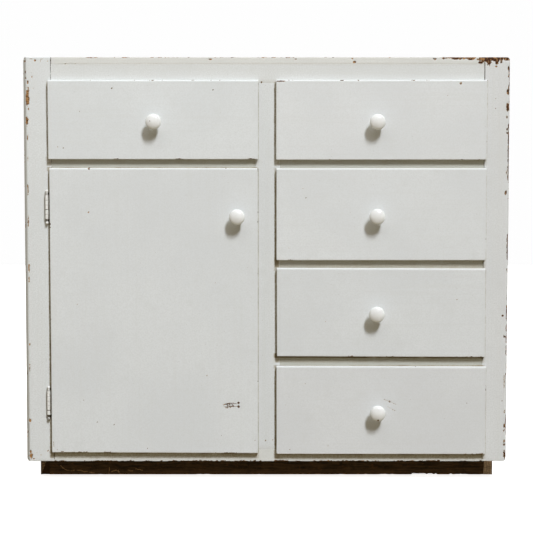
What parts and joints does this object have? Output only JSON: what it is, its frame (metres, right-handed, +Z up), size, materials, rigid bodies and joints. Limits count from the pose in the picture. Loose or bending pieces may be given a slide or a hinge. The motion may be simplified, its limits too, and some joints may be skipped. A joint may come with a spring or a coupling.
{
  "type": "kitchen base cabinet",
  "caption": "Old painted wooden kitchen base cabinet with a face frame: lipped drawers, a hinged lipped door, round white knobs, drawer runners, a shelf and a recessed plinth.",
  "frame": {"origin": "middle of the width and of the whole depth, knobs included, on the floor under the plinth", "axes": "+X to the right as one faces the cabinet, +Y from the fronts to the back, +Z up"},
  "size_m": [1.016, 0.6226, 0.895],
  "materials": {
    "old_paint": "old brushed gloss paint, worn and chipped",
    "bare_wood": "unpainted softwood, darkened with age",
    "dark_wood": "dark worn wood",
    "porcelain": "white glaze",
    "painted_hinge": "painted over with the frame",
    "catch_metal": "dull",
    "screws": "dull"
  },
  "bodies": {
    "carcass": {"side_panel_left": "old_paint", "side_panel_right": "old_paint", "partition": "bare_wood", "bottom_board": "bare_wood", "top_board": "old_paint", "back_panel": "bare_wood", "stile_left": "old_paint", "stile_right": "old_paint", "stile_centre": "old_paint", "top_rail": "old_paint", "bottom_rail": "old_paint", "drawer_rails": "old_paint", "shelf": "bare_wood", "shelf_cleats": "bare_wood", "kick_board": "dark_wood", "plinth_runners": "dark_wood", "left_drawer_runners": "bare_wood", "right_outer_runners": "bare_wood", "right_inner_runners": "bare_wood", "bottom_guides": "bare_wood", "hinge_frame_leaves": "painted_hinge", "carcass_screws": "screws", "catch_body": "catch_metal"},
    "door": {"door_panel": "old_paint", "hinge_door_leaves": "painted_hinge", "hinge_pins": "painted_hinge", "door_screws": "screws", "door_knob": "porcelain", "door_knob_screw": "screws", "catch_strike": "catch_metal"},
    "left_drawer": {"left_drawer_front": "old_paint", "left_drawer_sides": "bare_wood", "left_drawer_back": "bare_wood", "left_drawer_bottom": "bare_wood", "left_drawer_knob": "porcelain", "left_drawer_screw": "screws"},
    "first_drawer": {"first_drawer_front": "old_paint", "first_drawer_sides": "bare_wood", "first_drawer_back": "bare_wood", "first_drawer_bottom": "bare_wood", "first_drawer_knob": "porcelain", "first_drawer_screw": "screws"},
    "second_drawer": {"second_drawer_front": "old_paint", "second_drawer_sides": "bare_wood", "second_drawer_back": "bare_wood", "second_drawer_bottom": "bare_wood", "second_drawer_knob": "porcelain", "second_drawer_screw": "screws"},
    "third_drawer": {"third_drawer_front": "old_paint", "third_drawer_sides": "bare_wood", "third_drawer_back": "bare_wood", "third_drawer_bottom": "bare_wood", "third_drawer_knob": "porcelain", "third_drawer_screw": "screws"},
    "fourth_drawer": {"fourth_drawer_front": "old_paint", "fourth_drawer_sides": "bare_wood", "fourth_drawer_back": "bare_wood", "fourth_drawer_bottom": "bare_wood", "fourth_drawer_knob": "porcelain", "fourth_drawer_screw": "screws"}
  },
  "joints": [
    {"name": "door_swing", "type": "hinge", "parent": "carcass", "child": "door", "pos_m": [-0.4598, -0.27685, 0.36], "axis": [0, 0, -1], "range_deg": [0, 150]},
    {"name": "left_drawer_slide", "type": "slide", "parent": "carcass", "child": "left_drawer", "axis": [0, -1, 0], "range_m": [0, 0.4]},
    {"name": "first_drawer_slide", "type": "slide", "parent": "carcass", "child": "first_drawer", "axis": [0, -1, 0], "range_m": [0, 0.4]},
    {"name": "second_drawer_slide", "type": "slide", "parent": "carcass", "child": "second_drawer", "axis": [0, -1, 0], "range_m": [0, 0.4]},
    {"name": "third_drawer_slide", "type": "slide", "parent": "carcass", "child": "third_drawer", "axis": [0, -1, 0], "range_m": [0, 0.4]},
    {"name": "fourth_drawer_slide", "type": "slide", "parent": "carcass", "child": "fourth_drawer", "axis": [0, -1, 0], "range_m": [0, 0.4]}
  ]
}
